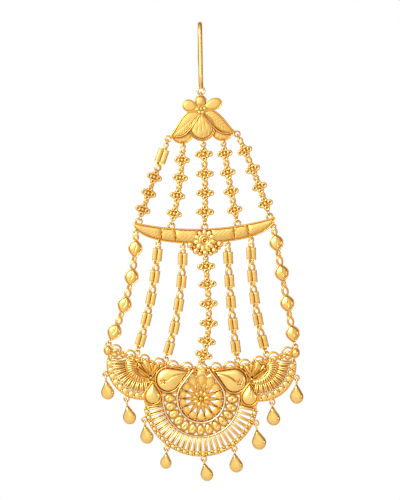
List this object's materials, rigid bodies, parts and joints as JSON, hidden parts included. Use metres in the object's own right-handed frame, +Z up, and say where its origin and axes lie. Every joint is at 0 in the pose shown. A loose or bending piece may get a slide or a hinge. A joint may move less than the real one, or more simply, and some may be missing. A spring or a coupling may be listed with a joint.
{
  "type": "forehead pendant",
  "caption": "Gold forehead pendant: hair hook, leaf crown, link strands, crescent bar, more strands and a pierced fan with hanging drops.",
  "frame": {"origin": "the inside of the hook's bend, at its top, where the pendant hangs", "axes": "+Z up along the hook, +X to the wearer's left as the front is seen, the front of every plaque faces -Y"},
  "size_m": [0.076, 0.0111, 0.175],
  "materials": {
    "polished_gold": "polished yellow gold",
    "satin_gold": "satin yellow gold with polished edges"
  },
  "bodies": {
    "hook": {"hook": "polished_gold"},
    "pendant": {"crown_plaque": "satin_gold", "upper_strand_1": "polished_gold", "upper_strand_2": "polished_gold", "upper_strand_3": "polished_gold", "upper_strand_4": "polished_gold", "upper_strand_5": "polished_gold", "crescent_bar": "satin_gold", "lower_strand_1": "polished_gold", "lower_strand_2": "polished_gold", "lower_strand_3": "polished_gold", "lower_strand_4": "polished_gold", "lower_strand_5": "polished_gold", "lower_strand_6": "polished_gold", "lower_strand_7": "polished_gold", "fan_plaque": "satin_gold", "drop_1": "satin_gold", "drop_2": "satin_gold", "drop_3": "satin_gold", "drop_4": "satin_gold", "drop_5": "satin_gold", "drop_6": "satin_gold", "drop_7": "satin_gold", "drop_8": "satin_gold", "drop_9": "satin_gold"}
  },
  "joints": [
    {"name": "pendant_swing", "type": "hinge", "parent": "hook", "child": "pendant", "pos_m": [0.0004, -0.00382, -0.0262], "axis": [1, 0, 0], "range_deg": [-75, 75]}
  ]
}
